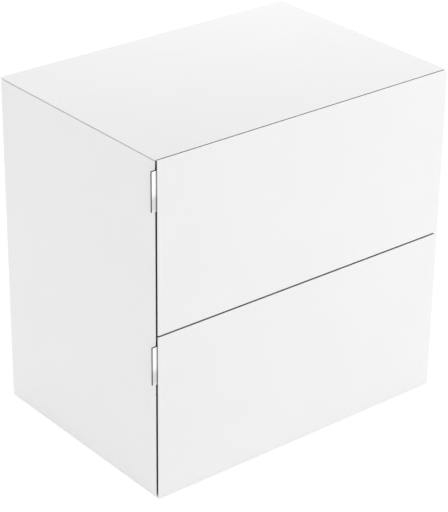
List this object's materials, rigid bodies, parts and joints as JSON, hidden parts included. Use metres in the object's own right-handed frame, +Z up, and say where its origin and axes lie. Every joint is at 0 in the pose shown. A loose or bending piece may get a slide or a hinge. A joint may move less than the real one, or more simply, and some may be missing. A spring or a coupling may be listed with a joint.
{
  "type": "drawer sideboard",
  "caption": "Low white cabinet with mitred panels and full-width drawers on ball runners, pulled by small steel tabs at the left edge.",
  "frame": {"origin": "middle of the bounding box's footprint, grip tabs included, at floor level", "axes": "+X to the right as seen from the front, +Y to the back, +Z up; the drawers open towards -Y"},
  "size_m": [0.6094, 0.42, 0.6],
  "materials": {
    "lacquered_board": "satin white lacquer on medium-density fibreboard",
    "back_board": "satin white lacquer on thin fibreboard",
    "birch_plywood": "clear matt lacquer on birch plywood, layers showing at the edges",
    "birch_bottom": "clear matt lacquer on thin birch plywood",
    "beech_biscuit": "pressed beech",
    "polished_steel": "polished stainless steel",
    "stainless_screw": "plain stainless steel",
    "zinc_screw": "bright zinc plate",
    "galvanised_steel": "rolled steel, zinc plated",
    "cage_steel": "thin plated steel cage with steel balls",
    "nylon_glide": "moulded light grey nylon"
  },
  "bodies": {
    "case": {"back_panel": "back_board", "back_panel_screws": "zinc_screw", "bottom_corner_biscuits": "beech_biscuit", "bottom_panel": "lacquered_board", "case_runner_screws": "zinc_screw", "floor_glide_screws": "zinc_screw", "floor_glides": "nylon_glide", "left_side_panel": "lacquered_board", "lower_left_cabinet_runner": "galvanised_steel", "lower_right_cabinet_runner": "galvanised_steel", "right_side_panel": "lacquered_board", "runner_bumpers": "nylon_glide", "top_corner_biscuits": "beech_biscuit", "top_panel": "lacquered_board", "upper_left_cabinet_runner": "galvanised_steel", "upper_right_cabinet_runner": "galvanised_steel"},
    "lower_drawer": {"lower_drawer_back": "birch_plywood", "lower_drawer_bottom": "birch_bottom", "lower_drawer_front": "lacquered_board", "lower_drawer_front_screws": "zinc_screw", "lower_drawer_inner_front": "birch_plywood", "lower_drawer_left_side": "birch_plywood", "lower_drawer_right_side": "birch_plywood", "lower_drawer_runner_screws": "zinc_screw", "lower_grip_tab": "polished_steel", "lower_grip_tab_screws": "stainless_screw", "lower_left_drawer_runner": "galvanised_steel", "lower_right_drawer_runner": "galvanised_steel"},
    "lower_left_inner_ball_cage": {"lower_left_inner_ball_cage": "cage_steel"},
    "lower_left_intermediate_runner": {"lower_left_intermediate_runner": "galvanised_steel"},
    "lower_left_outer_ball_cage": {"lower_left_outer_ball_cage": "cage_steel"},
    "lower_right_inner_ball_cage": {"lower_right_inner_ball_cage": "cage_steel"},
    "lower_right_intermediate_runner": {"lower_right_intermediate_runner": "galvanised_steel"},
    "lower_right_outer_ball_cage": {"lower_right_outer_ball_cage": "cage_steel"},
    "upper_drawer": {"upper_drawer_back": "birch_plywood", "upper_drawer_bottom": "birch_bottom", "upper_drawer_front": "lacquered_board", "upper_drawer_front_screws": "zinc_screw", "upper_drawer_inner_front": "birch_plywood", "upper_drawer_left_side": "birch_plywood", "upper_drawer_right_side": "birch_plywood", "upper_drawer_runner_screws": "zinc_screw", "upper_grip_tab": "polished_steel", "upper_grip_tab_screws": "stainless_screw", "upper_left_drawer_runner": "galvanised_steel", "upper_right_drawer_runner": "galvanised_steel"},
    "upper_left_inner_ball_cage": {"upper_left_inner_ball_cage": "cage_steel"},
    "upper_left_intermediate_runner": {"upper_left_intermediate_runner": "galvanised_steel"},
    "upper_left_outer_ball_cage": {"upper_left_outer_ball_cage": "cage_steel"},
    "upper_right_inner_ball_cage": {"upper_right_inner_ball_cage": "cage_steel"},
    "upper_right_intermediate_runner": {"upper_right_intermediate_runner": "galvanised_steel"},
    "upper_right_outer_ball_cage": {"upper_right_outer_ball_cage": "cage_steel"}
  },
  "joints": [
    {"name": "upper_drawer_slide", "type": "slide", "parent": "case", "child": "upper_drawer", "axis": [0, -1, 0], "range_m": [0, 0.34]},
    {"name": "lower_drawer_slide", "type": "slide", "parent": "case", "child": "lower_drawer", "axis": [0, -1, 0], "range_m": [0, 0.34]},
    {"name": "upper_left_intermediate_runner_slide", "type": "slide", "parent": "case", "child": "upper_left_intermediate_runner", "axis": [0, -1, 0], "range_m": [0, 0.17]},
    {"name": "upper_left_outer_ball_cage_slide", "type": "slide", "parent": "case", "child": "upper_left_outer_ball_cage", "axis": [0, -1, 0], "range_m": [0, 0.085]},
    {"name": "upper_left_inner_ball_cage_slide", "type": "slide", "parent": "case", "child": "upper_left_inner_ball_cage", "axis": [0, -1, 0], "range_m": [0, 0.255]},
    {"name": "upper_right_intermediate_runner_slide", "type": "slide", "parent": "case", "child": "upper_right_intermediate_runner", "axis": [0, -1, 0], "range_m": [0, 0.17]},
    {"name": "upper_right_outer_ball_cage_slide", "type": "slide", "parent": "case", "child": "upper_right_outer_ball_cage", "axis": [0, -1, 0], "range_m": [0, 0.085]},
    {"name": "upper_right_inner_ball_cage_slide", "type": "slide", "parent": "case", "child": "upper_right_inner_ball_cage", "axis": [0, -1, 0], "range_m": [0, 0.255]},
    {"name": "lower_left_intermediate_runner_slide", "type": "slide", "parent": "case", "child": "lower_left_intermediate_runner", "axis": [0, -1, 0], "range_m": [0, 0.17]},
    {"name": "lower_left_outer_ball_cage_slide", "type": "slide", "parent": "case", "child": "lower_left_outer_ball_cage", "axis": [0, -1, 0], "range_m": [0, 0.085]},
    {"name": "lower_left_inner_ball_cage_slide", "type": "slide", "parent": "case", "child": "lower_left_inner_ball_cage", "axis": [0, -1, 0], "range_m": [0, 0.255]},
    {"name": "lower_right_intermediate_runner_slide", "type": "slide", "parent": "case", "child": "lower_right_intermediate_runner", "axis": [0, -1, 0], "range_m": [0, 0.17]},
    {"name": "lower_right_outer_ball_cage_slide", "type": "slide", "parent": "case", "child": "lower_right_outer_ball_cage", "axis": [0, -1, 0], "range_m": [0, 0.085]},
    {"name": "lower_right_inner_ball_cage_slide", "type": "slide", "parent": "case", "child": "lower_right_inner_ball_cage", "axis": [0, -1, 0], "range_m": [0, 0.255]}
  ],
  "couplings": [
    {"joint": "upper_left_intermediate_runner_slide", "follows": "upper_drawer_slide", "ratio": 0.5},
    {"joint": "upper_left_outer_ball_cage_slide", "follows": "upper_drawer_slide", "ratio": 0.25},
    {"joint": "upper_left_inner_ball_cage_slide", "follows": "upper_drawer_slide", "ratio": 0.75},
    {"joint": "upper_right_intermediate_runner_slide", "follows": "upper_drawer_slide", "ratio": 0.5},
    {"joint": "upper_right_outer_ball_cage_slide", "follows": "upper_drawer_slide", "ratio": 0.25},
    {"joint": "upper_right_inner_ball_cage_slide", "follows": "upper_drawer_slide", "ratio": 0.75},
    {"joint": "lower_left_intermediate_runner_slide", "follows": "lower_drawer_slide", "ratio": 0.5},
    {"joint": "lower_left_outer_ball_cage_slide", "follows": "lower_drawer_slide", "ratio": 0.25},
    {"joint": "lower_left_inner_ball_cage_slide", "follows": "lower_drawer_slide", "ratio": 0.75},
    {"joint": "lower_right_intermediate_runner_slide", "follows": "lower_drawer_slide", "ratio": 0.5},
    {"joint": "lower_right_outer_ball_cage_slide", "follows": "lower_drawer_slide", "ratio": 0.25},
    {"joint": "lower_right_inner_ball_cage_slide", "follows": "lower_drawer_slide", "ratio": 0.75}
  ]
}
